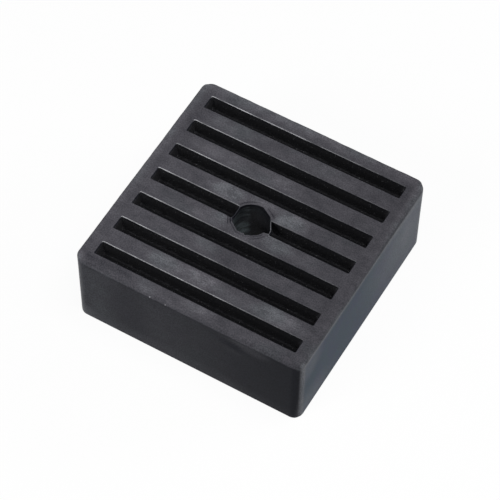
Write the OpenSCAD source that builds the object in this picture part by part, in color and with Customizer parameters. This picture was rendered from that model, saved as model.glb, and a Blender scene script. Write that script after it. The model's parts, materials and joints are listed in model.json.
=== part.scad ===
// Slotted anti-vibration machine pad: one square block of moulded rubber with a row of
// blind slots in its top face and a bolt hole through its middle.
// The origin is the middle of the underside, +Z is up and the slots run along X. Millimetres.

/* [Block] */
// Length of each side of the square block
pad_side = 80; // [60:1:120]
// Height of the block
pad_h = 30; // [24:1:45]
// Radius of the four upright corners
corner_r = 3; // [1.5:0.5:6]
// Radius of the edges round the top face and the underside
edge_r = 0.6; // [0.2:0.1:1.2]

/* [Slots] */
// Number of slots in the top face
slot_count = 7; // [3:1:8]
// Wall between the slots and the outside of the block
side_wall = 4.7; // [3:0.1:8]
// Width of each slot at the top face
slot_w = 4.9; // [3.5:0.1:5.5]
// Depth of the slots below the top face
slot_depth = 6.5; // [4:0.5:12]
// Draft of the slot walls, in degrees a side
slot_draft = 0.5; // [0.25:0.25:1.5]
// Radius along the foot of each slot's long walls
slot_root_r = 0.5; // [0.3:0.1:1.1]

/* [Bolt hole] */
// Diameter of the hole through the middle
bore_d = 12; // [8:0.5:14]
// Thickness of the skin that parts the hole from the middle slot
bore_skin = 0.6; // [0.4:0.1:1.5]

/* [Hidden] */
$fn = 96;

rubber_colour = "#35363a";
slot_length = pad_side - 2 * side_wall;
slot_pitch = (slot_length - slot_w) / (slot_count - 1);
corner_offset = pad_side / 2 - corner_r;
// How far a cut runs past the face that it opens
past_face = 1;

// Rectangle standing on the X axis, with all four corners rounded
module rounded_rectangle(w, h, r) {
    translate([-w / 2 + r, 0]) square([w - 2 * r, h]);
    translate([-w / 2, r]) square([w, h - 2 * r]);
    for (side = [-1, 1], y = [r, h - r])
        translate([side * (w / 2 - r), y]) circle(r);
}

// Half of that rectangle, to be turned about the Y axis
module rounded_half(radius, h, r) {
    square([radius - r, h]);
    translate([0, r]) square([radius, h - 2 * r]);
    for (y = [r, h - r])
        translate([radius - r, y]) circle(r);
}

// Runs a profile drawn in XY along the X axis, with the profile upright
module along_x(length) {
    rotate([90, 0, 90])
        linear_extrude(height = length, center = true) children();
}

// Runs a profile drawn in XY along the Y axis, with the profile upright
module along_y(length) {
    rotate([90, 0, 0])
        linear_extrude(height = length, center = true) children();
}

// The solid block: a bar each way and a turned post at each corner
module block() {
    along_x(2 * corner_offset) rounded_rectangle(pad_side, pad_h, edge_r);
    along_y(2 * corner_offset) rounded_rectangle(pad_side, pad_h, edge_r);
    for (x = [-1, 1], y = [-1, 1])
        translate([x * corner_offset, y * corner_offset, 0])
            rotate_extrude() rounded_half(corner_r, pad_h, edge_r);
}

// Section of a slot: its floor is on the X axis, its walls lean out by the draft
// and its foot is rounded by root_r
module slot_section(w, depth, root_r) {
    top = depth + past_face;
    half_top = w / 2 + past_face * tan(slot_draft);
    half_floor = w / 2 - depth * tan(slot_draft);
    // Centre of the root arc, tangent to the floor and to the leaning wall
    arc_x = half_floor - root_r * tan(45 - slot_draft / 2);
    wall_x = arc_x + root_r * cos(slot_draft);
    wall_y = root_r - root_r * sin(slot_draft);
    polygon([[-arc_x, 0], [arc_x, 0], [wall_x, wall_y], [half_top, top],
             [-half_top, top], [-wall_x, wall_y]]);
    for (side = [-1, 1])
        translate([side * arc_x, root_r]) circle(root_r);
}

// Lengthwise section of a slot, with drafted ends and square feet
module slot_profile(length, depth) {
    top = depth + past_face;
    half_top = length / 2 + past_face * tan(slot_draft);
    half_floor = length / 2 - depth * tan(slot_draft);
    polygon([[-half_floor, 0], [half_floor, 0], [half_top, top], [-half_top, top]]);
}

// One slot's space, with the middle of its floor at the origin
module slot_space() {
    intersection() {
        along_x(slot_length + 2 * past_face) slot_section(slot_w, slot_depth, slot_root_r);
        along_y(slot_w + 2 * past_face) slot_profile(slot_length, slot_depth);
    }
}

// The row of slots, which stops short of the hole by the skin round it
module slot_row() {
    difference() {
        for (i = [0 : slot_count - 1])
            translate([0, (i - (slot_count - 1) / 2) * slot_pitch, pad_h - slot_depth])
                slot_space();
        cylinder(h = pad_h + 2 * past_face, d = bore_d + 2 * bore_skin);
    }
}

module bolt_hole() {
    translate([0, 0, -past_face])
        cylinder(h = pad_h + 2 * past_face, d = bore_d);
}

module rubber_pad() {
    color(rubber_colour)
        difference() {
            block();
            slot_row();
            bolt_hole();
        }
}

rubber_pad();
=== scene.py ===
"""Slotted rubber machine pad: its moulded form, its rubber and the white stage that it stands on."""

import json
import math

import bmesh
import bpy
from mathutils import Matrix, Vector, geometry, kdtree, noise


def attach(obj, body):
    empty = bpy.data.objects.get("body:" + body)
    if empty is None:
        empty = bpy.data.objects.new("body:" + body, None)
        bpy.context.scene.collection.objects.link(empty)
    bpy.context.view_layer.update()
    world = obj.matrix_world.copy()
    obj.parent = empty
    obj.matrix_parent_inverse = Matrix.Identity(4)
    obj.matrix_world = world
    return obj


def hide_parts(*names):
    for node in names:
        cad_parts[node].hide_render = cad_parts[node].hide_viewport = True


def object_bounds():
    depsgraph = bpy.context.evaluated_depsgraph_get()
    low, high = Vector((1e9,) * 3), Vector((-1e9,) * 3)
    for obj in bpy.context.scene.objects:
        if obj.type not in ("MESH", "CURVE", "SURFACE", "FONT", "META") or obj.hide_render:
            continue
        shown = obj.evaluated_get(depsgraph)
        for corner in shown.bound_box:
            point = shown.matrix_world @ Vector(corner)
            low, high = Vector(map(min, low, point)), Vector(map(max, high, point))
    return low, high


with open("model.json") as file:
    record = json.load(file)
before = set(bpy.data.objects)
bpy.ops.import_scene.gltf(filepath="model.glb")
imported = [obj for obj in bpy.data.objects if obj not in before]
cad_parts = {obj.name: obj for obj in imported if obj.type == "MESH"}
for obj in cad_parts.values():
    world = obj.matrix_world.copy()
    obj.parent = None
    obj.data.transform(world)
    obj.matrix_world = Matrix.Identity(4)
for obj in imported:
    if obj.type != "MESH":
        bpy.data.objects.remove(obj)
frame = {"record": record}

bl_info = {
    "name": "Slotted Rubber Machine Pad",
    "version": (1, 0, 0),
    "blender": (4, 5, 0),
    "location": "3D View > Sidebar > Machine Pad",
    "description": "Builds a slotted rubber pad for a machine's foot and a white stage for it",
    "category": "Add Mesh",
}

MM = 0.001
PAD_NODE = "rubber_pad"
PAD_BODY = "root"
CAD_LOW, CAD_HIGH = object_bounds()
BOLT_HOLE = next(m for m in frame["record"]["mounts"] if m["name"] == "bolt_hole")

# How closely the rings and flats are divided
RIM_SPACING = 0.8 * MM
SKIN_SPACING = 0.2 * MM
FLAT_SPACING = 0.9 * MM
FOOT_SPACING = 2.0 * MM
LIP_GAP = 0.12 * MM
ROUND_STEPS = 4
RIM_STEPS = 8
CORNER_STEPS = 8
SLOT_CORNER_STEPS = 3
HOLE_STEPS = 216
HOLE_RINGS = 24
WALL_RINGS = 9
SIDE_RINGS = 26

# Distances from the hole's mouth, in mm, of the close points that carry its lip and grooves
LIP_CLEARS = (0.28, 0.4, 0.52, 0.66, 0.8, 0.95, 1.1, 1.3, 1.45, 1.6, 1.75, 1.9)

# A vertex nearer to a level than this lies on it
ON_LEVEL = 0.001 * MM

# Marks on the vertices, which the rubber's shader reads
MARKS = ("bloom_and_light", "fresh", "highlight_and_specks", "scrape_and_light", "dry_and_edge_shading", "deep")

# Layers of the noise and the gap between them, so that no two kinds of unevenness wander together
LAYER_GAP = 31.7
SWELL_LAYER = 1
TRIM_LAYER = 2
LIP_LAYER = 3
TOP_LAYER = 4
HIGHLIGHT_LAYER = 6
TEAR_LAYER = 8
ROOT_LAYER = 9

# How far the moulded form strays from the true one, and the size of its waves
SWELL = 0.07 * MM
SWELL_GRAIN = 15.0 * MM
TRIM_GRAIN = 3.2 * MM
TOP_WAVE = 0.03 * MM
TOP_WAVE_GRAIN = 9.0 * MM
SIDES_PROUD = 0.1 * MM
SIDES_WIDER = 0.05 * MM
SHIFT_LEFT = 0.06 * MM
SHIFT_BACK = 0.03 * MM

# The dent under the front rim and the ridge below it: middle in X and Z and spread in X and Z, in
# mm, and share of the dent's depth
DENTS = ((17.5, 26.3, 3.2, 0.9, 1.0), (16.5, 23.4, 3.0, 1.0, -0.6))

# Where the hole's mouth is drawn in, flat, torn and given a painted highlight: middle and spread, as turns
# from the right
BACK_DRAWN = (math.radians(110.0), math.radians(35.0))
BACK_FLAT = (math.radians(60.0), math.radians(60.0))
FRONT_TORN = (math.radians(-98.0), math.radians(34.0))
BACK_HIGHLIGHT = (math.radians(118.0), math.radians(28.0))
TEAR_GRAIN = 0.8 * MM

# Turn in which the pocket closes, and the spread of the painted highlight on its front
POCKET_CLOSE = math.radians(9.0)
POCKET_HIGHLIGHT = math.radians(4.0)

# Spread of the lip's crest and of a groove, and the strength of the painted shade in a groove
LIP_SPREAD = 0.14 * MM
GROOVE_SPREAD = 0.14 * MM
GROOVE_PAINTED_SHADE = 0.35

# Corners of the skin drawn out on the right of the hole's mouth, in mm: where it leaves the
# round, where it bends and where it ends in a pocket
PULLED_SKIN = ((4.45, 3.45), (6.95, -0.9), (7.05, -2.1))

# Length of slot that bends to meet the skin, and depth by which the left skin's sinking ends
SKIN_BEND = 6.0 * MM
SKIN_ROOT = 4.0 * MM

# Arcs of the grooves round the hole: middle and half width in degrees, distance from the mouth
# in mm, and strength
GROOVE_ARCS = (
    (51.0, 22.0, 1.15, 1.0),
    (128.0, 30.0, 1.05, 1.0),
    (203.0, 22.0, 1.6, 0.9),
    (236.0, 50.0, 0.75, 0.8),
    (300.0, 34.0, 0.55, 0.8),
    (312.0, 26.0, 1.35, 0.7),
)

# How far the painted highlight on the slots' far edges takes to die away along a slot, and where it ends in
# the outer and the inner rows
HIGHLIGHT_FADE = 60.0 * MM
HIGHLIGHT_END_OUTER = 40.0 * MM
HIGHLIGHT_END_INNER = 20.0 * MM

# White specks on the front edge: middle and radius, in mm
SPECKS = (((-12.6, -40.0, 29.0), 0.36), ((-7.1, -40.0, 28.9), 0.28))

# Patches of pale dry bloom on the top, or of less of it: middle and half size in X and Y, in mm,
# and strength
TOP_BLOOM = (
    # Behind the hole
    (0.0, 38.5, 50.0, 3.0, 0.09),
    (-38.0, 38.5, 6.0, 4.0, 0.10),
    (38.0, 38.5, 6.0, 3.0, 0.06),
    (37.0, 30.0, 5.0, 9.0, -0.09),
    (-25.0, 27.4, 9.0, 3.4, 0.10),
    (11.0, 27.4, 14.0, 3.2, 0.08),
    (-37.0, 27.0, 5.0, 16.0, -0.09),
    (-20.0, 16.5, 12.0, 3.4, 0.16),
    (0.0, 16.4, 9.0, 3.2, 0.20),
    # Beside the hole
    (-12.0, 5.5, 7.0, 3.6, 0.40),
    (0.5, 7.2, 7.0, 2.4, 0.22),
    (11.5, 5.5, 6.0, 3.6, 0.42),
    (8.0, 3.5, 3.0, 2.5, 0.20),
    (-5.9, -3.0, 1.5, 2.2, -0.22),
    (-8.5, -3.5, 3.0, 2.0, 0.24),
    (-12.5, -5.5, 8.0, 3.4, 0.17),
    (0.5, -7.4, 5.5, 2.2, 0.13),
    (11.5, -5.0, 6.5, 3.2, 0.22),
    (22.0, -5.5, 7.0, 3.0, 0.08),
    # Before the hole
    (-9.0, -15.5, 6.0, 3.0, 0.16),
    (1.0, -16.4, 7.0, 3.0, -0.08),
    (34.0, -16.4, 4.0, 4.0, -0.07),
    (-15.0, -27.5, 7.0, 3.4, 0.33),
    (-3.0, -27.0, 9.0, 3.4, 0.38),
    (12.0, -27.5, 8.0, 3.0, 0.10),
    (25.0, -27.5, 10.0, 3.2, 0.36),
    (-37.0, -38.0, 6.0, 3.0, -0.08),
    (-28.0, -38.0, 10.0, 3.0, -0.16),
    (-14.0, -37.5, 6.0, 2.6, 0.07),
    (0.0, -38.5, 60.0, 2.6, -0.05),
    (2.0, -36.7, 7.0, 2.2, 0.28),
    (24.0, -37.5, 9.0, 2.4, 0.10),
)

# The same on the sides, where the front and right patches are painted light rather than bloom: middle and
# half size in X, Y and Z, in mm, and strength
SIDE_BLOOM_AND_PAINTED_LIGHT = (
    # Front: painted light, lighter towards the left and on the left corner, with painted shade under the
    # left of the rim and beside the right corner
    ((-60.0, -40.0, 10.0), (92.0, 3.0, 60.0), 0.20),
    ((-40.0, -39.0, 15.0), (3.4, 3.0, 40.0), 0.37),
    ((-39.0, -40.0, 1.0), (6.0, 4.0, 6.0), 0.26),
    ((-33.0, -39.6, 29.3), (6.0, 1.5, 1.2), -0.14),
    ((-21.0, -40.0, 14.0), (9.0, 3.0, 24.0), -0.09),
    ((-5.0, -40.0, 0.0), (60.0, 2.5, 6.0), 0.12),
    ((22.5, -40.0, 27.0), (7.5, 1.8, 3.0), 0.15),
    ((38.2, -39.7, 13.0), (1.3, 1.2, 20.0), -0.06),
    # Right: painted highlights on the front corner, along the rim and on the back corner, and painted light
    # that grows towards the back
    ((39.8, -38.0, 17.0), (1.0, 1.3, 38.0), 0.90),
    ((40.0, -34.0, 25.0), (1.0, 8.0, 8.0), 0.22),
    ((40.0, -34.0, 3.0), (2.0, 14.0, 9.0), 0.22),
    ((40.6, -16.0, 28.45), (3.0, 46.0, 1.3), 0.62),
    ((40.6, 36.0, 27.4), (3.0, 30.0, 2.1), 0.42),
    ((40.0, 38.8, 6.0), (2.0, 2.8, 34.0), 0.76),
    ((40.0, 39.2, 2.0), (2.0, 2.4, 16.0), 0.45),
    ((40.0, 45.0, 17.0), (3.0, 44.0, 25.0), 0.48),
    # Left and back
    ((-40.0, 15.0, 15.0), (3.0, 52.0, 40.0), 0.22),
    ((0.0, 40.0, 15.0), (60.0, 3.0, 40.0), 0.22),
)

# All the patches of bloom and painted light, with the top's at the height of its face and thin, in mm
TOP_LEVEL = 30.0
TOP_REACH = 1.0
BLOOM_AND_LIGHT_PATCHES = [((x, y, TOP_LEVEL), (wide, long, TOP_REACH), peak) for x, y, wide, long, peak in TOP_BLOOM]
BLOOM_AND_LIGHT_PATCHES += SIDE_BLOOM_AND_PAINTED_LIGHT

# Scales of the noises in the rubber, from the broadest to the finest
MOTTLE_SCALE = 75.0
DRIFT_SCALE = 120.0
CLOUD_SCALE = 330.0
STREAK_SCALE = 700.0
GRAIN_SCALE = 2300.0
FINE_SCALE = 2600.0

# Ways in which the scuffs on the top run, in degrees, and how each kind of mark is stretched
SCUFF_WAYS = (38.0, -57.0)
SCUFF_STRETCH = (0.16, 1.0, 1.0)
CLOUD_STRETCH = (0.7, 1.0, 1.0)
STREAK_STRETCH = (0.2, 0.2, 1.0)

# Weight of large faces in the shading, which keeps the flats flat
FLAT_WEIGHT = 90

# How far the stage's floor lies under the pad, so that their faces don't coincide, and its extent
FLOOR_GAP = 0.02 * MM
FLOOR_RADIUS = 4.0
FLOOR_SIDES = 96

# How white the floor shows to the eye, and the soft light from all round
FLOOR_WHITE = 0.93
SKY_STRENGTH = 0.06
SKY_COLOUR = (0.9, 0.95, 1.0, 1.0)
WHITE = (1.0, 1.0, 1.0, 1.0)

# Lamps: name, azimuth from the front and elevation in degrees, distance and side in metres, and watts
SOFTBOXES = (
    ("high softbox", 75.0, 76.0, 1.0, 0.55, 6.5),
    ("low back softbox", 135.0, 16.0, 1.0, 0.5, 5.0),
    ("front left softbox", -20.0, 36.0, 0.9, 0.4, 3.6),
)

# Width of the camera's frame in mm, and the nearest and furthest that it sees in metres
SENSOR_WIDTH = 36.0
NEAREST = 0.01
FURTHEST = 20.0


def length(name, description, default, low=0.0):
    """A size in metres, for a property group."""
    return bpy.props.FloatProperty(
        name=name, description=description, default=default, min=low,
        precision=5, unit="LENGTH", subtype="DISTANCE",
    )


def angle(name, description, degrees):
    """An angle, for a property group."""
    return bpy.props.FloatProperty(
        name=name, description=description, default=math.radians(degrees),
        unit="ROTATION", subtype="ANGLE",
    )


def share(name, description, default):
    """A share from 0 to 1, for a property group."""
    return bpy.props.FloatProperty(
        name=name, description=description, default=default, min=0.0, max=1.0, subtype="FACTOR",
    )


def colour(name, description, default):
    """A linear colour, for a property group."""
    return bpy.props.FloatVectorProperty(
        name=name, description=description, default=default, size=3, min=0.0, max=1.0, subtype="COLOR",
    )


class PadBlockSizes(bpy.types.PropertyGroup):
    """The square block"""

    side: length("Side", "Length of each side of the block", CAD_HIGH.x - CAD_LOW.x)
    height: length("Height", "Height of the block", CAD_HIGH.z - CAD_LOW.z)
    corner_radius: length("Corner radius", "Radius of the four upright corners", 3.2 * MM)
    edge_radius: length(
        "Edge radius", "Radius round the underside and the top's back and left edges", 0.6 * MM
    )
    worn_radius: length("Worn radius", "Radius of the top's front and right edges", 1.5 * MM)
    taper: length("Taper", "How much each side spreads at the back and draws in at the front", 0.17 * MM)
    skew: length("Skew", "How far the back edge is turned, at each end", 0.18 * MM)
    trim_waver: length("Trim waver", "How far the trimmed rim wanders", 0.08 * MM)
    dent_depth: length("Dent depth", "Depth of the dent under the front rim", 0.22 * MM)


class PadSlotSizes(bpy.types.PropertyGroup):
    """The row of slots"""

    count: bpy.props.IntProperty(name="Count", description="Number of slots", default=7, min=3, max=8)
    side_wall: length("Side wall", "Wall between the slots and the outside", 4.7 * MM)
    width: length("Width", "Width of a slot at the top face", 4.9 * MM)
    depth: length("Depth", "Depth of a slot below the top face", 6.5 * MM)
    draft: angle("Draft", "Lean of the slot walls", 0.5)
    root_radius: length("Root radius", "Radius along the foot of the walls", 0.5 * MM)
    mouth_radius: length("Mouth radius", "Radius of the slot's upper edge", 0.26 * MM)
    corner_radius: length("Corner radius", "Radius of the slot's upright corners", 0.25 * MM)


class PadHoleSizes(bpy.types.PropertyGroup):
    """The bolt hole"""

    radius: length("Radius", "Radius of the hole", BOLT_HOLE["dims"]["r_mm"] * MM)
    skin: length("Skin", "Thickness of the skin between the hole and the middle slot", 0.6 * MM)
    mouth_radius: length("Mouth radius", "Radius of the hole's edges", 0.15 * MM)
    left_chord: length("Left chord", "Distance of the flat left skin from the hole's axis", 5.55 * MM)
    skin_top: length("Skin top", "Thickness of the skin at the top face", 0.46 * MM)
    skin_sink: length("Skin sink", "How far the left skin lies below the top face", 0.5 * MM)
    skin_fade: length("Skin fade", "Depth by which the skins run back to the round hole", 9.0 * MM)
    back_draw: length("Back draw", "How far the mouth is drawn in at the back", 0.4 * MM)
    back_chord: length(
        "Back chord", "Distance of the mouth's flat back right from the hole's axis", 5.24 * MM
    )
    tear_size: length("Tear size", "How far the mouth's edge is torn at the front", 0.5 * MM)
    lip_height: length("Lip height", "Height of the lip round the mouth", 0.10 * MM)
    lip_reach: length("Lip reach", "Distance of the lip's crest from the mouth", 0.26 * MM)
    groove_depth: length("Groove depth", "Depth of the grooves outside the lip", 0.14 * MM)


class RubberFinish(bpy.types.PropertyGroup):
    """The rubber's colours and surface"""

    rubber: colour("Rubber", "Moulded rubber on the sides", (0.0083, 0.0092, 0.0130))
    fresh: colour("Fresh rubber", "Rubber just inside the slots and the hole", (0.0100, 0.0100, 0.0112))
    # Deep is the colour of the painted light that offsets the shade deep in the slots and the hole
    deep: colour("Deep rubber", "Dusty rubber deep in the slots and the hole", (0.08, 0.08, 0.088))
    # The bloom colour is also the colour of the painted light and highlights on the sides
    bloom_and_light: colour("Bloom", "Dry pale bloom on the outside", (0.1235, 0.1188, 0.1335))
    cool_bloom_and_light: colour("Cool bloom", "Greener patches of the bloom", (0.117, 0.1205, 0.1325))
    # A painted bluish sheen on the right side, in place of a bluish reflection
    painted_sheen: colour("Film", "Bluish film on the right side", (0.003, 0.0131, 0.0372))
    cool_painted_sheen: colour("Cool film", "Greener patches of the film", (0.001, 0.0166, 0.0338))
    # Colour of the painted highlights on the slots' edges and the hole's mouth, and of the white specks and
    # crumbs
    highlight_and_specks: colour("Flash", "Thin pale flash along the slots' edges", (0.42, 0.42, 0.44))
    # Colour of the scrapes and of the painted light on the left of the hole's wall
    scrape_and_light: colour("Scrape", "Grey scrapes inside the hole", (0.175, 0.211, 0.224))
    top_bloom: share("Top bloom", "Bloom over the whole top face", 0.46)
    roughness: share("Roughness", "Roughness of the moulded sides", 0.32)
    specular: share("Specular", "Strength of the gloss", 0.02)


class MachinePad(bpy.types.PropertyGroup):
    """All the sizes and finishes of the pad"""

    block: bpy.props.PointerProperty(type=PadBlockSizes)
    slots: bpy.props.PointerProperty(type=PadSlotSizes)
    hole: bpy.props.PointerProperty(type=PadHoleSizes)
    finish: bpy.props.PointerProperty(type=RubberFinish)


class PadStage(bpy.types.PropertyGroup):
    """The camera and the ground"""

    azimuth: angle("Azimuth", "Turn of the camera round the pad, from the front", 29.33)
    elevation: angle("Elevation", "Height of the camera above the horizon", 55.61)
    roll: angle("Roll", "Turn of the camera about its own axis", 1.03)
    distance: length("Distance", "Distance of the camera from the pad's middle", 703.8 * MM)
    aim_x: length("Aim X", "Camera's aim to the right of the pad's middle", 0.185 * MM, -1.0)
    aim_y: length("Aim Y", "Camera's aim behind the pad's middle", -1.32 * MM, -1.0)
    lens: bpy.props.FloatProperty(
        name="Lens", description="Focal length in millimetres on a 36 mm frame", default=161.0,
        unit="CAMERA",
    )
    ground: colour("Ground", "Colour of the floor", (0.9, 0.9, 0.9))


def wander(point, grain, layer):
    """Smooth noise from -1 to 1 whose features are about one grain across."""
    return noise.noise(Vector(point) / grain + Vector((0.0, 0.0, LAYER_GAP * layer)))


def smooth_step(low, high, value):
    """0 below low, 1 above high and a smooth rise between."""
    t = min(1.0, max(0.0, (value - low) / (high - low)))
    return t * t * (3.0 - 2.0 * t)


def plateau(start, full, wane, end, value):
    """1 from full to wane, with a smooth rise from start and a smooth fall to end."""
    return smooth_step(start, full, value) * (1.0 - smooth_step(wane, end, value))


def bell(distance, spread):
    """A smooth bump: 1 in the middle, fading with distance."""
    return math.exp(-0.5 * (distance / spread) ** 2)


def quarter_round(radius, steps=ROUND_STEPS):
    """Offset and drop of each ring of a rounded edge, from the flat that it leaves to the wall."""
    rings = []
    for k in range(steps + 1):
        turn = 0.5 * math.pi * k / steps
        rings.append((radius * (1.0 - math.sin(turn)), radius * (1.0 - math.cos(turn))))
    return rings


def rounded_outline(low, high, radius, steps_x, steps_y, corner_steps):
    """Points round a rectangle with round corners, as many at any size."""
    corners = ((high[0], low[1]), (high[0], high[1]), (low[0], high[1]), (low[0], low[1]))
    inward = ((-1.0, 1.0), (-1.0, -1.0), (1.0, -1.0), (1.0, 1.0))
    arcs = []
    for index, (corner, way_in) in enumerate(zip(corners, inward)):
        middle = Vector(corner) + radius * Vector(way_in)
        turns = [0.5 * math.pi * (index - 1 + k / corner_steps) for k in range(corner_steps + 1)]
        arcs.append([middle + radius * Vector((math.cos(t), math.sin(t))) for t in turns])
    points = []
    for index, arc in enumerate(arcs):
        following = arcs[(index + 1) % len(arcs)][0]
        steps = steps_x if index % 2 else steps_y
        points += arc
        points += [arc[-1].lerp(following, k / steps) for k in range(1, steps)]
    return points


def outward(outline):
    """The outward direction at each point of an outline that runs anticlockwise."""
    ahead = outline[1:] + outline[:1]
    behind = outline[-1:] + outline[:-1]
    ways = [following - before for following, before in zip(ahead, behind)]
    return [Vector((way.y, -way.x)).normalized() for way in ways]


def add_ring(bm, outline, height):
    """One closed ring of vertices at a height."""
    return [bm.verts.new((point.x, point.y, height)) for point in outline]


def join_rings(bm, rings):
    """Bands of faces between neighbouring rings."""
    for upper, lower in zip(rings, rings[1:]):
        count = len(upper)
        for i in range(count):
            j = (i + 1) % count
            bm.faces.new((upper[i], lower[i], lower[j], upper[j]))


def net_points(low, high, spacing):
    """Points of an even net of triangles over a rectangle."""
    points = []
    row_gap = spacing * math.sqrt(0.75)
    rows = int((high.y - low.y) / row_gap)
    columns = int((high.x - low.x) / spacing)
    for row in range(rows + 1):
        start = low.x + 0.5 * spacing * (row % 2)
        points += [Vector((start + spacing * k, low.y + row_gap * row)) for k in range(columns + 1)]
    return points


def outline_box(outline):
    """Lowest and highest corner of an outline."""
    low = Vector((min(p.x for p in outline), min(p.y for p in outline)))
    high = Vector((max(p.x for p in outline), max(p.y for p in outline)))
    return low, high


class Gap:
    """A hole in a flat, which says whether a point lies in it."""

    def __init__(self, outline):
        self.sides = list(zip(outline, outline[1:] + outline[:1]))
        self.low, self.high = outline_box(outline)

    def holds(self, point):
        """True if the outline goes round the point."""
        if not (self.low.x < point.x < self.high.x and self.low.y < point.y < self.high.y):
            return False
        crossings = 0
        for start, end in self.sides:
            if (start.y > point.y) != (end.y > point.y):
                rise = (point.y - start.y) / (end.y - start.y)
                crossings += point.x < start.x + rise * (end.x - start.x)
        return crossings % 2 == 1


def point_tree(points):
    """A search tree over flat points."""
    tree = kdtree.KDTree(len(points))
    for index, point in enumerate(points):
        tree.insert(point.to_3d(), index)
    tree.balance()
    return tree


def fill_flat(bm, outer, holes, height, spacing, close_points=(), close_gap=0.0):
    """Fills the flat between an outer ring and the rings of its holes with a net of triangles.

    close_points are extra points that may come as near to a ring as close_gap.
    """
    rings = [outer, *holes]
    owners = [vert for ring in rings for vert in ring]
    flat = [vert.co.xy for vert in owners]
    edges = []
    start = 0
    for ring in rings:
        count = len(ring)
        edges += [(start + k, start + (k + 1) % count) for k in range(count)]
        start += count
    tree = point_tree(flat)
    kept = [p for p in close_points if tree.find(p.to_3d())[2] > close_gap]
    crowd = point_tree(flat + kept)
    low, high = outline_box(flat)
    kept += [p for p in net_points(low, high, spacing) if crowd.find(p.to_3d())[2] > 0.5 * spacing]
    gaps = [Gap([vert.co.xy for vert in ring]) for ring in holes]
    inside_edges = 1
    same_point = 1e-8
    spots, _, faces, sources, _, _ = geometry.delaunay_2d_cdt(
        flat + kept, edges, [], inside_edges, same_point
    )
    made = {}
    for face in faces:
        middle = sum((spots[index] for index in face), Vector((0.0, 0.0))) / len(face)
        if any(gap.holds(middle) for gap in gaps):
            continue
        corners = []
        for index in face:
            if index not in made:
                known = [s for s in sources[index] if s < len(owners)]
                spot = spots[index]
                made[index] = owners[known[0]] if known else bm.verts.new((spot.x, spot.y, height))
            corners.append(made[index])
        bm.faces.new(corners)


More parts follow.
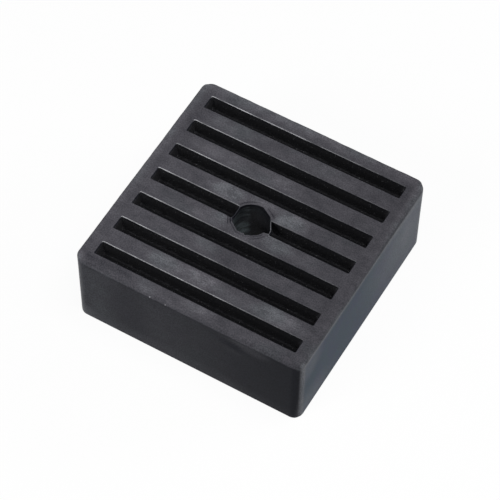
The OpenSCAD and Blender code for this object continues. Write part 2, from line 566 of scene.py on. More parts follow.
class PadForm:
    """Works out the pad's rings and surfaces from its settings."""

    def __init__(self, pad):
        self.block = pad.block
        self.slots = pad.slots
        self.hole = pad.hole
        self.top = pad.block.height
        self.slot_length = pad.block.side - 2.0 * pad.slots.side_wall
        self.slot_pitch = (self.slot_length - pad.slots.width) / (pad.slots.count - 1)
        self.collar = pad.hole.radius + pad.hole.skin
        self.pulled = [Vector(corner) * MM for corner in PULLED_SKIN]
        self.pulled_turns = [math.atan2(corner.y, corner.x) for corner in self.pulled]

    def skin_hold(self, depth):
        """How far the skins are out of round at a depth: 1 at the mouth, 0 below the fade."""
        return 1.0 - smooth_step(0.0, self.hole.skin_fade, depth)

    def pulled_radius(self, turn):
        """Distance of the drawn-out skin from the hole's axis."""
        ray = Vector((math.cos(turn), math.sin(turn)))
        reaches = []
        for start, end in zip(self.pulled, self.pulled[1:]):
            facing = Vector((start.y - end.y, end.x - start.x))
            reaches.append(facing.dot(start) / facing.dot(ray))
        return min(reaches)

    def hole_radius(self, turn, depth):
        """Radius of the hole's wall: drawn in at the back, flat twice and drawn out on its right."""
        hole = self.hole
        drawn, drawn_spread = BACK_DRAWN
        shaped = hole.radius - hole.back_draw * bell(turn - drawn, drawn_spread)
        flat, flat_half = BACK_FLAT
        if abs(turn - flat) < flat_half:
            shaped = min(shaped, hole.back_chord / math.cos(turn - flat))
        leave, _, pocket = self.pulled_turns
        closed = pocket - POCKET_CLOSE
        if math.cos(turn) < 0.0:
            shaped = min(shaped, hole.left_chord / -math.cos(turn))
        elif pocket <= turn <= leave:
            shaped = self.pulled_radius(turn)
        elif closed <= turn < pocket:
            shaped += (self.pulled[-1].length - shaped) * smooth_step(closed, pocket, turn)
        shaped += self.tear(turn)
        return hole.radius + (shaped - hole.radius) * self.skin_hold(depth)

    def tear(self, turn):
        """How far the mouth is torn out or in where it was cut roughly, at the front."""
        place = Vector((math.cos(turn), math.sin(turn), 0.0)) * self.hole.radius
        middle, spread = FRONT_TORN
        return bell(turn - middle, spread) * self.hole.tear_size * wander(place, TEAR_GRAIN, TEAR_LAYER)

    def skin_x(self, side, y, depth):
        """Where the middle slot ends at the skin, on the left (-1) or on the right (1)."""
        round_end = side * math.sqrt(max(self.collar ** 2 - y ** 2, 0.0))
        if side < 0:
            straight = -self.hole.left_chord - self.hole.skin_top
        else:
            leave, bend, pocket = self.pulled
            start, end = (leave, bend) if y > bend.y else (bend, pocket)
            along = (y - start.y) / (end.y - start.y)
            straight = start.x + (end.x - start.x) * along + self.hole.skin_top
        return round_end + (straight - round_end) * self.skin_hold(depth)

    def on_skin(self, point):
        """How surely a point lies on a skin beside the hole: -1 on the left, 1 on the right, 0 off."""
        x, y, _ = point
        inner = 0.7 * self.hole.radius
        outer = self.collar + 1.2 * MM
        if not inner < abs(x) < outer:
            return 0.0
        half = 0.5 * self.slots.width
        return math.copysign(1.0 - smooth_step(0.6 * half, 0.98 * half, abs(y)), x)

    def from_mouth(self, x, y):
        """Distance of a place on the top from the hole's mouth."""
        return math.hypot(x, y) - self.hole_radius(math.atan2(y, x), 0.0)

    def groove_at(self, x, y):
        """Strength of the grooves outside the lip, which come and go in arcs."""
        turn = math.degrees(math.atan2(y, x)) % 360.0
        clear = self.from_mouth(x, y)
        found = 0.0
        for middle, half, reach, strength in GROOVE_ARCS:
            kept = 1.0 - smooth_step(0.6, 1.2, abs(turn - middle) / half)
            found = max(found, strength * kept * bell(clear - reach * MM, GROOVE_SPREAD))
        return found

    def lip(self, x, y):
        """Height of the lip and its grooves above the top face. The lip is lower at the front."""
        uneven = 1.0 + 0.35 * wander((x, y, 0.0), 2.5 * MM, LIP_LAYER)
        kept = 0.1 + 0.9 * smooth_step(-2.0 * MM, 2.0 * MM, y)
        from_crest = self.from_mouth(x, y) - self.hole.lip_reach
        crest = kept * self.hole.lip_height * bell(from_crest, LIP_SPREAD)
        return (crest - self.hole.groove_depth * self.groove_at(x, y)) * uneven

    def rim_radius(self, way):
        """Radius of the top's outer edge where it faces a way: worn at the front and on the right."""
        block = self.block
        front_right = Vector((1.0, -1.0)).normalized()
        worn = smooth_step(-0.35, 0.35, way.dot(front_right))
        return block.edge_radius + (block.worn_radius - block.edge_radius) * worn

    def block_rings(self, bm):
        """Rings of the outside, from the rim of the top face down to that of the underside."""
        half = 0.5 * self.block.side
        corner = self.block.corner_radius
        steps = round((self.block.side - 2.0 * corner) / RIM_SPACING)
        outline = rounded_outline((-half, -half), (half, half), corner, steps, steps, CORNER_STEPS)
        ways = outward(outline)
        radii = [self.rim_radius(way) for way in ways]
        rings = []
        for inset, drop in quarter_round(1.0, RIM_STEPS):
            ring = []
            for point, way, radius in zip(outline, ways, radii):
                place = point - way * inset * radius
                ring.append(bm.verts.new((place.x, place.y, self.top - drop * radius)))
            rings.append(ring)
        foot = quarter_round(self.block.edge_radius)
        for k in range(1, SIDE_RINGS):
            ring = []
            for point, radius in zip(outline, radii):
                upper = self.top - radius
                height = upper + (foot[-1][1] - upper) * (k / SIDE_RINGS)
                ring.append(bm.verts.new((point.x, point.y, height)))
            rings.append(ring)
        for inset, drop in reversed(foot):
            rings.append(add_ring(bm, [point - way * inset for point, way in zip(outline, ways)], drop))
        return rings

    def slot_levels(self):
        """Inset and depth of each ring of a slot, from its rounded mouth to its floor."""
        slots = self.slots
        lean = math.tan(slots.draft)
        foot = slots.depth - slots.root_radius
        levels = [(-outset, drop) for outset, drop in quarter_round(slots.mouth_radius)]
        for k in range(1, WALL_RINGS):
            depth = slots.mouth_radius + (foot - slots.mouth_radius) * k / WALL_RINGS
            levels.append((lean * depth, depth))
        for inset, rise in reversed(quarter_round(slots.root_radius)):
            depth = slots.depth - rise
            levels.append((lean * depth + inset, depth))
        return levels

    def slot_rings(self, bm, middle_y, low_x, high_x, side=0):
        """Rings of one slot. side says which end meets the skin of the hole: -1, 1 or 0 for none."""
        slots = self.slots
        half = 0.5 * slots.width
        steps_x = round((high_x - low_x) / RIM_SPACING)
        steps_y = round(slots.width / (SKIN_SPACING if side else RIM_SPACING))
        skin_end = low_x if side > 0 else high_x
        least_corner = 0.1 * MM
        rings = []
        for inset, depth in self.slot_levels():
            low = (low_x + inset, middle_y - half + inset)
            high = (high_x - inset, middle_y + half - inset)
            corner = max(slots.corner_radius - inset, least_corner)
            outline = rounded_outline(low, high, corner, steps_x, steps_y, SLOT_CORNER_STEPS)
            if side:
                for point in outline:
                    pull = max(0.0, 1.0 - abs(point.x - skin_end) / SKIN_BEND)
                    point.x += pull * (self.skin_x(side, point.y, depth) - skin_end)
            rings.append(add_ring(bm, outline, self.top - depth))
        return rings

    def all_slots(self, bm):
        """Rings of every slot. The middle one is in two halves, one each side of the hole."""
        half_length = 0.5 * self.slot_length
        middle = (self.slots.count - 1) / 2
        found = []
        for k in range(self.slots.count):
            y = (k - middle) * self.slot_pitch
            if abs(y) < 0.5 * self.slots.width:
                found.append(self.slot_rings(bm, y, -half_length, -self.collar, -1))
                found.append(self.slot_rings(bm, y, self.collar, half_length, 1))
            else:
                found.append(self.slot_rings(bm, y, -half_length, half_length))
        return found

    def hole_outline(self, depth, outset):
        """Points round the hole's wall at a depth, moved out by an outset."""
        points = []
        for k in range(HOLE_STEPS):
            turn = 2.0 * math.pi * k / HOLE_STEPS - math.pi
            radius = self.hole_radius(turn, depth) + outset
            points.append(Vector((radius * math.cos(turn), radius * math.sin(turn))))
        return points

    def hole_rings(self, bm):
        """Rings of the bolt hole from the top face to the underside, closest together near the top."""
        mouth = self.hole.mouth_radius
        levels = quarter_round(mouth)
        for k in range(1, HOLE_RINGS):
            levels.append((0.0, mouth + (self.top - 2.0 * mouth) * (k / HOLE_RINGS) ** 1.5))
        levels += [(outset, self.top - drop) for outset, drop in reversed(quarter_round(mouth))]
        rings = []
        for outset, depth in levels:
            rings.append(add_ring(bm, self.hole_outline(depth, outset), self.top - depth))
        return rings

    def lip_points(self):
        """Close points round the hole, to carry the lip and its grooves."""
        return [point for clear in LIP_CLEARS for point in self.hole_outline(0.0, clear * MM)]

    def settle(self, point):
        """Where a point of the sharp form lies on the moulded one, which is never quite true."""
        x, y, z = point
        block = self.block
        half = 0.5 * block.side
        depth = self.top - z
        off_foot = smooth_step(0.5 * MM, 4.0 * MM, z)
        near_top = smooth_step(self.top - 0.9 * MM, self.top - 0.2 * MM, z)
        at_side = smooth_step(half - 1.2 * MM, half - 0.6 * MM, max(abs(x), abs(y)))
        at_back = smooth_step(0.8, 1.0, y / half)
        swell = SWELL * wander(point, SWELL_GRAIN, SWELL_LAYER) * off_foot * at_side
        trim = block.trim_waver * wander(point, TRIM_GRAIN, TRIM_LAYER) * near_top * at_side
        push = swell + trim + SIDES_PROUD * at_side
        moved = Vector(point)
        if abs(x) >= abs(y):
            spread = block.taper * y / half + SIDES_WIDER
            moved.x += math.copysign(push + spread * at_side, x) - SHIFT_LEFT * at_side
        if abs(y) >= abs(x):
            moved.y += math.copysign(push, y)
        moved.y += (SHIFT_BACK - block.skew * x / half) * at_back
        moved.z += near_top * (self.lip(x, y) + TOP_WAVE * wander(point, TOP_WAVE_GRAIN, TOP_LAYER))
        moved.z += 0.5 * trim
        if depth < SKIN_ROOT:
            on_left_skin = max(0.0, -self.on_skin(point))
            moved.z -= on_left_skin * self.hole.skin_sink * (1.0 - depth / SKIN_ROOT)
        if y < -half + 1.0 * MM:
            pressed = 0.0
            for middle_x, middle_z, wide, tall, part in DENTS:
                pressed += part * bell(x - middle_x * MM, wide * MM) * bell(z - middle_z * MM, tall * MM)
            moved.y += block.dent_depth * pressed
        return moved

    def bloom_and_painted_light_at(self, point):
        """Strength of the pale bloom at a point, with the painted light of the side patches, less the
        painted shade in the grooves round the hole.
        """
        bare = 1.0
        for middle, half, peak in BLOOM_AND_LIGHT_PATCHES:
            away = math.hypot(*((p / MM - m) / h for p, m, h in zip(point, middle, half)))
            bare *= 1.0 - peak * (1.0 - smooth_step(0.3, 1.2, away))
        found = 1.0 - bare
        # Painted shade in the grooves round the hole
        if point.z > self.top - 0.1 * MM:
            found -= GROOVE_PAINTED_SHADE * self.groove_at(point.x, point.y)
        return found

    def top_dry(self, point):
        """How dry the top face is: all of it but the sunk left skin."""
        return 1.0 - max(0.0, -self.on_skin(point))

    def rim_dry_and_shade(self, point, turned):
        """Dryness of the rounded rim, by how far it has turned down, with painted shade on the front and on
        the right, where it also ends sooner.
        """
        x, y, _ = point
        on_right = smooth_step(-1.0 * MM, 1.0 * MM, abs(x) - abs(y)) * (x > 0.0)
        front_painted_shade = 0.25 * (1.0 - on_right) * smooth_step(0.2, 0.5, turned) * (y < 0.0)
        right_painted_shade = 0.3 * on_right * smooth_step(5.0 * MM, 28.0 * MM, y) * smooth_step(0.0, 0.3, turned)
        starts = 0.75 - 0.5 * on_right
        ends = 1.0 - 0.15 * on_right
        return (1.0 - front_painted_shade - right_painted_shade) * (1.0 - smooth_step(starts, ends, turned))

    def slot_dry_and_highlight(self, point, step):
        """Dryness of the rounded edge of a slot, by its steps down, with a painted highlight that makes it
        most so at the far edge.
        """
        return (0.1 + 0.5 * self.far_edge(point)) * 0.5 ** step

    def hole_dry_and_highlight(self, point, step):
        """Dryness of the rounded edge of the hole, by its steps down, with a painted highlight that makes
        it most so at the back.
        """
        return (0.1 + 0.3 * smooth_step(-3.0 * MM, 1.0 * MM, point.y)) * 0.5 ** step

    def fresh_at(self, point, most=1.0):
        """How fresh the rubber of a wall is: none at the top face, and the most just under it."""
        return most * smooth_step(0.1 * MM, 1.0 * MM, self.top - point.z)

    def depth_painted_light_at(self, point):
        """Painted light on a wall at a point, against the shade deep inside: more the deeper it lies, but
        even on a slot's end.
        """
        end_painted_light = 0.42
        top_painted_light = 0.09
        depth = self.top - point.z
        down = top_painted_light + (1.0 - top_painted_light) * smooth_step(3.0 * MM, 8.5 * MM, depth)
        from_end = 0.5 * self.slot_length - abs(point.x)
        off_end = smooth_step(0.2 * MM, 0.7 * MM + 0.5 * depth, from_end)
        return end_painted_light + (down - end_painted_light) * off_end

    def root_painted_highlight_at(self, point, turned):
        """Painted highlight along the rounded foot of a slot, with a glint at its far left corner, by how
        far it has turned to the floor.
        """
        half = 0.5 * self.slots.width
        far_left_corner = Vector((-0.5 * self.slot_length, half))
        _, middle_y = self.slot_row(point.y)
        across = point.y - middle_y
        glint = bell((Vector((point.x, across)) - far_left_corner).length, 0.55 * MM)
        along = 0.3 + 0.7 * smooth_step(0.6 * half, 0.9 * half, abs(across))
        uneven = 1.0 + 0.7 * wander(point, 1.4 * MM, ROOT_LAYER) + glint
        return self.depth_painted_light_at(point) * along * uneven * (1.0 - turned) ** 1.5

    def mouth_highlight(self, point):
        """Strength of the painted highlight on the hole's mouth: at its back left, on the skins and along
        the pocket's front.
        """
        turn = math.atan2(point.y, point.x)
        middle, spread = BACK_HIGHLIGHT
        back_left = 0.13 * bell(turn - middle, spread)
        left_skin = -0.08 * self.on_skin(point)
        right_skin = 0.42 * self.on_skin(point)
        pocket_front = self.pulled_turns[-1] - POCKET_HIGHLIGHT
        in_pocket = 0.3 * bell(turn - pocket_front, POCKET_HIGHLIGHT)
        return max(back_left, left_skin, right_skin, in_pocket)

    def scrape_and_light_at(self, point):
        """Strength of the grey scrapes on the left of the hole's wall, with painted light that makes that
        side lighter, most of all deep down.
        """
        turn = math.degrees(math.atan2(point.y, point.x)) % 360.0
        depth = (self.top - point.z) / MM
        round_it = plateau(118.0, 136.0, 200.0, 240.0, turn)
        down_it = plateau(6.0, 15.0, 18.0, 22.0, depth)
        below_mouth = smooth_step(0.8, 2.2, depth)
        upper = 1.0 - smooth_step(3.0, 6.5, depth)
        upper *= 0.3 + 0.7 * smooth_step(75.0, 120.0, turn)
        return below_mouth * max(0.14 * upper, round_it * (0.55 + 0.45 * down_it))

    def slot_row(self, y):
        """Number of the slot nearest to a Y, from the front, and the Y of its middle."""
        middle = (self.slots.count - 1) / 2
        row = round(y / self.slot_pitch + middle)
        return row, (row - middle) * self.slot_pitch

    def far_edge(self, point):
        """1 at the far edge of a slot, 0 away from it."""
        _, middle_y = self.slot_row(point.y)
        return smooth_step(0.42 * self.slots.width, 0.5 * self.slots.width, point.y - middle_y)

    def painted_edge_highlight_at(self, point):
        """Strength of the painted highlight along the far edge of each slot, which fades to the right."""
        row, _ = self.slot_row(point.y)
        end = HIGHLIGHT_END_OUTER if row in (0, self.slots.count - 1) else HIGHLIGHT_END_INNER
        painted_light_falloff = 1.0 - 0.8 * smooth_step(end - HIGHLIGHT_FADE, end, point.x)
        return self.far_edge(point) * painted_light_falloff * (0.68 + 0.7 * wander(point, 5.0 * MM, HIGHLIGHT_LAYER))


def mark(ring, layer, strength, *more):
    """Sets a mark on the vertices of a ring by where they lie."""
    for vert in ring:
        vert[layer] = strength(vert.co, *more)


def mark_pad(bm, layers, form, outside, slots, hole):
    """Marks the bloom and the painted light outside, and inside the fresh rubber, the painted light that
    grows with depth, the scrapes and painted light in the hole and the painted highlights on the edges.
    """
    bloom_and_light, fresh, highlight_and_specks, scrape_and_light, dry_and_edge_shading, deep = layers
    floor_height = form.top - form.slots.depth
    for vert in bm.verts:
        # Bloom, with painted light on the sides and painted shade in the grooves
        vert[bloom_and_light] = form.bloom_and_painted_light_at(vert.co)
        if vert.co.z > form.top - ON_LEVEL:
            vert[dry_and_edge_shading] = form.top_dry(vert.co)
        if abs(vert.co.z - floor_height) < ON_LEVEL:
            vert[fresh] = 1.0
    # Bloom on the rim, with painted shade on its front and right
    for step, ring in enumerate(outside[:RIM_STEPS + 1]):
        mark(ring, dry_and_edge_shading, form.rim_dry_and_shade, step / RIM_STEPS)
    for rings in slots:
        for ring in rings:
            mark(ring, fresh, form.fresh_at)
            # Painted light that grows with depth, even on the slots' ends
            mark(ring, deep, form.depth_painted_light_at)
        # Painted highlight along the slots' rounded feet
        for step, ring in enumerate(rings[-ROUND_STEPS - 1:]):
            mark(ring, deep, form.root_painted_highlight_at, step / ROUND_STEPS)
        # Painted highlight on the rounding of the slots' far edges
        for step, ring in enumerate(rings[1:ROUND_STEPS]):
            mark(ring, dry_and_edge_shading, form.slot_dry_and_highlight, step)
            mark(ring, highlight_and_specks, form.painted_edge_highlight_at)
    for ring in hole:
        mark(ring, fresh, form.fresh_at, 0.4)
        mark(ring, deep, form.depth_painted_light_at)
        # Scrapes and painted light on the hole's left
        mark(ring, scrape_and_light, form.scrape_and_light_at)
    # Painted highlight on the back of the hole's rounded mouth
    for step, ring in enumerate(hole[1:ROUND_STEPS]):
        mark(ring, dry_and_edge_shading, form.hole_dry_and_highlight, step)
    # Painted highlight round the hole's mouth and along the right skin
    right_half = slots[len(slots) // 2]
    for ring in (hole[0], right_half[0]):
        mark(ring, highlight_and_specks, form.mouth_highlight)


def build_pad_mesh(pad):
    """The pad's closed mesh, with the marks that the rubber's shader reads on its vertices."""
    form = PadForm(pad)
    bm = bmesh.new()
    layers = [bm.verts.layers.float.new(name) for name in MARKS]
    outside = form.block_rings(bm)
    slots = form.all_slots(bm)
    hole = form.hole_rings(bm)
    for rings in (outside, *slots, hole):
        join_rings(bm, rings)
    mouths = [*(rings[0] for rings in slots), hole[0]]
    fill_flat(bm, outside[0], mouths, form.top, FLAT_SPACING, form.lip_points(), LIP_GAP)
    fill_flat(bm, outside[-1], [hole[-1]], 0.0, FOOT_SPACING)
    for rings in slots:
        fill_flat(bm, rings[-1], [], form.top - pad.slots.depth, FOOT_SPACING)
    mark_pad(bm, layers, form, outside, slots, hole)
    for vert in bm.verts:
        vert.co = form.settle(vert.co)
    bmesh.ops.recalc_face_normals(bm, faces=bm.faces)
    mesh = bpy.data.meshes.new("machine_pad")
    bm.to_mesh(mesh)
    bm.free()
    mesh.shade_smooth()
    return mesh


def add_node(tree, kind, inputs=None, **settings):
    """A shader node with its settings, its constants and its links."""
    made = tree.nodes.new(kind)
    for key, value in settings.items():
        setattr(made, key, value)
    for key, value in (inputs or {}).items():
        socket = made.inputs[key]
        if isinstance(value, bpy.types.NodeSocket):
            tree.links.new(value, socket)
        else:
            socket.default_value = value
    return made


def blend_colours(tree, factor, first, second, mode="MIX"):
    """The colour socket of a mix of two colours."""
    mix = add_node(tree, "ShaderNodeMix", {0: factor}, data_type="RGBA", blend_type=mode)
    for index, value in ((6, first), (7, second)):
        if isinstance(value, bpy.types.NodeSocket):
            tree.links.new(value, mix.inputs[index])
        else:
            mix.inputs[index].default_value = (*value, 1.0)
    return mix.outputs[2]


def do_math(tree, operation, first, second, clamp=False):
    """The value socket of a piece of arithmetic."""
    return add_node(
        tree, "ShaderNodeMath", {0: first, 1: second}, operation=operation, use_clamp=clamp
    ).outputs[0]


def times(tree, first, second):
    """The value socket of a product."""
    return do_math(tree, "MULTIPLY", first, second)


def plus(tree, first, second):
    """The value socket of a sum."""
    return do_math(tree, "ADD", first, second)


def map_range(tree, value, low, high, to_low=0.0, to_high=1.0):
    """A value moved smoothly from one range to another."""
    return add_node(
        tree, "ShaderNodeMapRange",
        {"Value": value, "From Min": low, "From Max": high, "To Min": to_low, "To Max": to_high},
        interpolation_type="SMOOTHSTEP",
    ).outputs["Result"]


def noise_value(tree, place, scale, detail=3.0, roughness=0.55):
    """The value socket of a noise over the pad."""
    return add_node(
        tree, "ShaderNodeTexNoise",
        {"Vector": place, "Scale": scale, "Detail": detail, "Roughness": roughness},
    ).outputs["Fac"]


def stretched(tree, place, scale, degrees=0.0):
    """The place socket turned about Z and stretched."""
    return add_node(
        tree, "ShaderNodeMapping",
        {"Vector": place, "Rotation": (0.0, 0.0, math.radians(degrees)), "Scale": scale},
    ).outputs["Vector"]


def empty_tree(holder):
    """The node tree of a material or a world, with nothing in it."""
    holder.use_nodes = True
    holder.node_tree.nodes.clear()
    return holder.node_tree


def scuff_marks(tree, place):
    """Fine crossed scuffs, from 0 to 1."""
    found = 0.0
    for degrees in SCUFF_WAYS:
        strokes = noise_value(tree, stretched(tree, place, SCUFF_STRETCH, degrees), FINE_SCALE, 2.0)
        found = do_math(tree, "MAXIMUM", found, map_range(tree, strokes, 0.56, 0.7))
    return found


def bloom_amount(tree, finish, marks, place, mottle, cloud):
    """How much bloom and painted light shows: a dusting over the top, and patches, painted light on the
    sides, that are blotchy where thick.
    """
    on_top = marks["dry_and_edge_shading"]
    haze = map_range(tree, cloud, 0.3, 0.7, 0.82, 1.18)
    dusting = times(tree, times(tree, on_top, finish.top_bloom), haze)
    side_mottle = map_range(tree, mottle, 0.35, 0.65, 0.86, 1.14)
    side_blotch = times(tree, side_mottle, map_range(tree, cloud, 0.3, 0.7, 0.92, 1.08))
    top_blotch = map_range(tree, cloud, 0.32, 0.68, 0.45, 1.4)
    blotched = times(tree, on_top, map_range(tree, marks["bloom_and_light"], 0.1, 0.35))
    even = add_node(tree, "ShaderNodeMix", {0: blotched, 2: side_blotch, 3: top_blotch}).outputs[0]
    scuffs = times(tree, scuff_marks(tree, place), plus(tree, marks["bloom_and_light"], 0.03))
    patches = plus(tree, times(tree, marks["bloom_and_light"], even), times(tree, scuffs, on_top))
    return do_math(tree, "ADD", dusting, patches, True)


def outside_colour(tree, finish, marks, place, mottle, cloud):
    """The colour of the outside: moulded rubber, a painted bluish sheen on the right side, and the bloom
    and painted light over both.
    """
    darker = [0.86 * part for part in finish.rubber]
    moulded = blend_colours(tree, map_range(tree, mottle, 0.35, 0.65), finish.rubber, darker)
    spot = add_node(tree, "ShaderNodeSeparateXYZ", {"Vector": place}).outputs
    # Painted bluish sheen on the right side, below its rim
    painted_sheen_mask = times(
        tree, map_range(tree, spot["X"], CAD_HIGH.x - 0.6 * MM, CAD_HIGH.x - 0.1 * MM),
        map_range(tree, spot["Z"], CAD_HIGH.z - 2.4 * MM, CAD_HIGH.z - 1.2 * MM, 1.0, 0.0),
    )
    drift = map_range(tree, noise_value(tree, place, DRIFT_SCALE, 2.0), 0.4, 0.6)
    painted_sheen = blend_colours(tree, drift, finish.painted_sheen, finish.cool_painted_sheen)
    thick = plus(tree, mottle, times(tree, marks["bloom_and_light"], 0.55))
    bloom_and_light = blend_colours(tree, map_range(tree, thick, 0.5, 0.74), finish.bloom_and_light, finish.cool_bloom_and_light)
    amount = bloom_amount(tree, finish, marks, place, mottle, cloud)
    return blend_colours(tree, amount, blend_colours(tree, painted_sheen_mask, moulded, painted_sheen), bloom_and_light)


def inside_colour(tree, finish, marks, place, outside):
    """The outside's colour, and inside the slots and the hole that of fresh rubber, with painted light that
    grows with depth, and scrapes and painted light on the hole's left.
    """
    under_top = do_math(tree, "SUBTRACT", 1.0, marks["dry_and_edge_shading"])
    inside = do_math(tree, "MULTIPLY", marks["fresh"], under_top, True)
    # Painted light that grows with depth inside the slots and the hole
    core = blend_colours(tree, marks["deep"], finish.fresh, finish.deep)
    cored = blend_colours(tree, inside, outside, core)
    crumbs = map_range(tree, noise_value(tree, place, FINE_SCALE, 1.0), 0.68, 0.78, 0.0, 0.3)
    crumbed = blend_colours(tree, times(tree, crumbs, inside), cored, finish.highlight_and_specks)
    # Streaky scrapes and painted light on the left of the hole's wall
    streaks = noise_value(tree, stretched(tree, place, STREAK_STRETCH), STREAK_SCALE, 2.0)
    scraped_and_lit = times(tree, marks["scrape_and_light"], map_range(tree, streaks, 0.38, 0.64, 0.2, 1.1))
    return blend_colours(tree, scraped_and_lit, crumbed, finish.scrape_and_light)


def highlight_and_speck_amount(tree, marks, place):
    """How much painted highlight shows, on the slots' far edges and round the hole's mouth, with the white
    specks.
    """
    found = marks["highlight_and_specks"]
    for middle, radius in SPECKS:
        away = add_node(
            tree, "ShaderNodeVectorMath", {0: place, 1: Vector(middle) * MM}, operation="DISTANCE"
        ).outputs["Value"]
        found = do_math(tree, "MAXIMUM", found, map_range(tree, away, 0.0, radius * MM, 1.0, 0.0))
    return found


def build_rubber(finish):
    """Moulded rubber: near black inside, satin on the sides, clouded by a dry bloom on top."""
    material = bpy.data.materials.new("moulded_rubber")
    tree = empty_tree(material)
    place = add_node(tree, "ShaderNodeTexCoord").outputs["Object"]
    marks = {}
    for name in MARKS:
        marks[name] = add_node(tree, "ShaderNodeAttribute", attribute_name=name).outputs["Fac"]
    mottle = noise_value(tree, place, MOTTLE_SCALE, 4.0)
    cloud = noise_value(tree, stretched(tree, place, CLOUD_STRETCH), CLOUD_SCALE, 5.0, 0.6)
    grain = noise_value(tree, place, GRAIN_SCALE, 2.0, 0.6)

    outside = outside_colour(tree, finish, marks, place, mottle, cloud)
    scraped_and_lit = inside_colour(tree, finish, marks, place, outside)
    # Painted highlights on the edges and round the mouth, and the white specks
    shaded = blend_colours(tree, highlight_and_speck_amount(tree, marks, place), scraped_and_lit, finish.highlight_and_specks)
    # Painted light: the whole pad lighter on its left and darker on its right
    across = add_node(tree, "ShaderNodeSeparateXYZ", {"Vector": place}).outputs["X"]
    painted_light_falloff = map_range(tree, across, CAD_LOW.x, CAD_HIGH.x, 1.14, 0.91)
    grain_and_light_falloff = times(tree, map_range(tree, grain, 0.3, 0.7, 0.73, 1.27), painted_light_falloff)
    grey = add_node(tree, "ShaderNodeCombineXYZ", {"X": grain_and_light_falloff, "Y": grain_and_light_falloff, "Z": grain_and_light_falloff})
    base = blend_colours(tree, 1.0, shaded, grey.outputs["Vector"], "MULTIPLY")

    on_top = marks["dry_and_edge_shading"]
    drier = times(tree, on_top, map_range(tree, cloud, 0.3, 0.7, 0.25, 0.35))
    rough = do_math(tree, "ADD", drier, finish.roughness, True)
    relief = plus(tree, times(tree, grain, 0.5), cloud)
    relief_strength = map_range(tree, on_top, 0.0, 1.0, 0.05, 0.35)
    bump = add_node(
        tree, "ShaderNodeBump", {"Height": relief, "Strength": relief_strength, "Distance": 0.06 * MM}
    ).outputs["Normal"]
    rubber = add_node(
        tree, "ShaderNodeBsdfPrincipled",
        {"Base Color": base, "Roughness": rough, "Normal": bump, "Specular IOR Level": finish.specular},
    )
    add_node(tree, "ShaderNodeOutputMaterial", {"Surface": rubber.outputs["BSDF"]})
    return material


class PAD_OT_rubber_pad(bpy.types.Operator):
    """Build the slotted rubber pad"""

    bl_idname = "machine_pad.rubber_pad"
    bl_label = "Rubber Pad"

    def execute(self, context):
        pad = context.scene.machine_pad
        if pad.slots.count % 2 == 0:
            raise ValueError("The number of slots has to be odd, so that the middle one meets the hole")
        piece = bpy.data.objects.new("slotted_rubber_pad", build_pad_mesh(pad))
        context.scene.collection.objects.link(piece)
        piece.data.materials.append(build_rubber(pad.finish))
        weighted = piece.modifiers.new("flat faces first", "WEIGHTED_NORMAL")
        weighted.weight = FLAT_WEIGHT
        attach(piece, PAD_BODY)
        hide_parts(PAD_NODE)
        return {"FINISHED"}


def toward(azimuth, elevation):
    """The way to a thing seen from the pad at an azimuth, counted from the front, and an elevation."""
    level = math.cos(elevation)
    return Vector((math.sin(azimuth) * level, -math.cos(azimuth) * level, math.sin(elevation)))


def add_softbox(scene, name, azimuth, elevation, distance, side, power):
    """A square lamp that looks at the pad's middle."""
    lamp = bpy.data.lights.new(name, "AREA")
    lamp.shape = "SQUARE"
    lamp.size = side
    lamp.energy = power
    way = toward(math.radians(azimuth), math.radians(elevation))
    holder = bpy.data.objects.new(name, lamp)
    holder.location = way * distance
    holder.rotation_euler = way.to_track_quat("Z", "Y").to_euler()
    scene.collection.objects.link(holder)


def white_to_the_eye(tree):
    """1 for rays that show the background: seen straight, in gloss or through glass."""
    paths = add_node(tree, "ShaderNodeLightPath").outputs
    seen = do_math(tree, "MAXIMUM", paths["Is Camera Ray"], paths["Is Glossy Ray"])
    return do_math(tree, "MAXIMUM", seen, paths["Is Transmission Ray"])


def build_ground(stage):
    """A pale floor that shows nearly white and keeps the pad's shadow."""
    material = bpy.data.materials.new("pale_floor")
    tree = empty_tree(material)
    matt = add_node(tree, "ShaderNodeBsdfDiffuse", {"Color": (*stage.ground, 1.0)})
    white = add_node(tree, "ShaderNodeEmission", {"Color": WHITE, "Strength": 1.0})
    lift = times(tree, white_to_the_eye(tree), FLOOR_WHITE)
    mixed = add_node(tree, "ShaderNodeMixShader", {0: lift, 1: matt.outputs[0], 2: white.outputs[0]})
    add_node(tree, "ShaderNodeOutputMaterial", {"Surface": mixed.outputs[0]})
    return material


def add_floor(scene, stage):
    """A wide round floor just under the pad."""
    mesh = bpy.data.meshes.new("floor")
    bm = bmesh.new()
    bmesh.ops.create_circle(bm, cap_ends=True, segments=FLOOR_SIDES, radius=FLOOR_RADIUS)
    bm.to_mesh(mesh)
    bm.free()
    floor = bpy.data.objects.new("floor", mesh)
    floor.location.z = -FLOOR_GAP
    floor.data.materials.append(build_ground(stage))
    scene.collection.objects.link(floor)


def build_world(scene):
    """A soft even light from all round, which shows white behind the floor."""
    world = bpy.data.worlds.new("studio")
    tree = empty_tree(world)
    soft = add_node(tree, "ShaderNodeBackground", {"Color": SKY_COLOUR, "Strength": SKY_STRENGTH})
    white = add_node(tree, "ShaderNodeBackground", {"Color": WHITE, "Strength": 1.0})
    seen = white_to_the_eye(tree)
    mixed = add_node(tree, "ShaderNodeMixShader", {0: seen, 1: soft.outputs[0], 2: white.outputs[0]})
    add_node(tree, "ShaderNodeOutputWorld", {"Surface": mixed.outputs[0]})
    scene.world = world


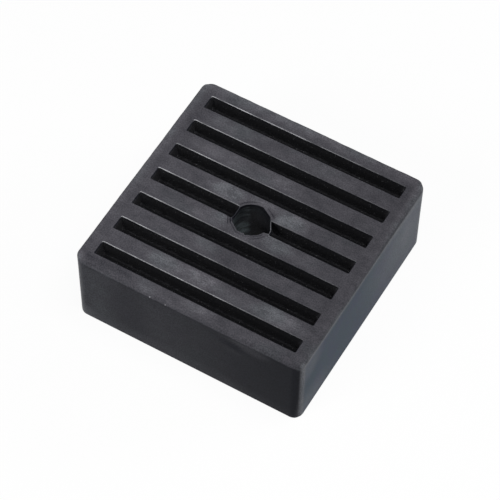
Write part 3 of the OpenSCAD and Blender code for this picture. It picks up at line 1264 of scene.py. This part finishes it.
def add_camera(scene, stage):
    """The camera of the photograph, aimed close to the pad's middle."""
    lens = bpy.data.cameras.new("view")
    lens.lens = stage.lens
    lens.sensor_width = SENSOR_WIDTH
    lens.clip_start = NEAREST
    lens.clip_end = FURTHEST
    middle = (CAD_LOW + CAD_HIGH) / 2.0 + Vector((stage.aim_x, stage.aim_y, 0.0))
    back = toward(stage.azimuth, stage.elevation)
    turn = back.to_track_quat("Z", "Y").to_matrix().to_4x4()
    roll = Matrix.Rotation(stage.roll, 4, "Z")
    eye = bpy.data.objects.new("view", lens)
    eye.matrix_world = Matrix.Translation(middle + back * stage.distance) @ turn @ roll
    scene.collection.objects.link(eye)
    scene.camera = eye


class PAD_OT_stage(bpy.types.Operator):
    """Build the floor, the lamps and the camera"""

    bl_idname = "machine_pad.stage"
    bl_label = "Stage"

    def execute(self, context):
        scene = context.scene
        stage = scene.machine_pad_stage
        add_floor(scene, stage)
        build_world(scene)
        for softbox in SOFTBOXES:
            add_softbox(scene, *softbox)
        add_camera(scene, stage)
        scene.view_settings.view_transform = "Standard"
        return {"FINISHED"}


class VIEW3D_PT_machine_pad(bpy.types.Panel):
    """Sizes, finishes and builders of the pad"""

    bl_label = "Machine Pad"
    bl_space_type = "VIEW_3D"
    bl_region_type = "UI"
    bl_category = "Machine Pad"

    def draw(self, context):
        layout = self.layout
        pad = context.scene.machine_pad
        for group in (pad.block, pad.slots, pad.hole, pad.finish, context.scene.machine_pad_stage):
            box = layout.box()
            box.label(text=group.__doc__)
            for name in group.__annotations__:
                box.prop(group, name)
        layout.operator(PAD_OT_rubber_pad.bl_idname)
        layout.operator(PAD_OT_stage.bl_idname)


CLASSES = (
    PadBlockSizes,
    PadSlotSizes,
    PadHoleSizes,
    RubberFinish,
    MachinePad,
    PadStage,
    PAD_OT_rubber_pad,
    PAD_OT_stage,
    VIEW3D_PT_machine_pad,
)


def register():
    """Make the classes and the scene's settings known to Blender."""
    for item in CLASSES:
        bpy.utils.register_class(item)
    bpy.types.Scene.machine_pad = bpy.props.PointerProperty(type=MachinePad)
    bpy.types.Scene.machine_pad_stage = bpy.props.PointerProperty(type=PadStage)


def unregister():
    """Take them out again."""
    del bpy.types.Scene.machine_pad_stage
    del bpy.types.Scene.machine_pad
    for item in reversed(CLASSES):
        bpy.utils.unregister_class(item)


def main():
    """Build the pad and its stage."""
    register()
    bpy.ops.machine_pad.rubber_pad()
    bpy.ops.machine_pad.stage()


if __name__ == "__main__":
    main()
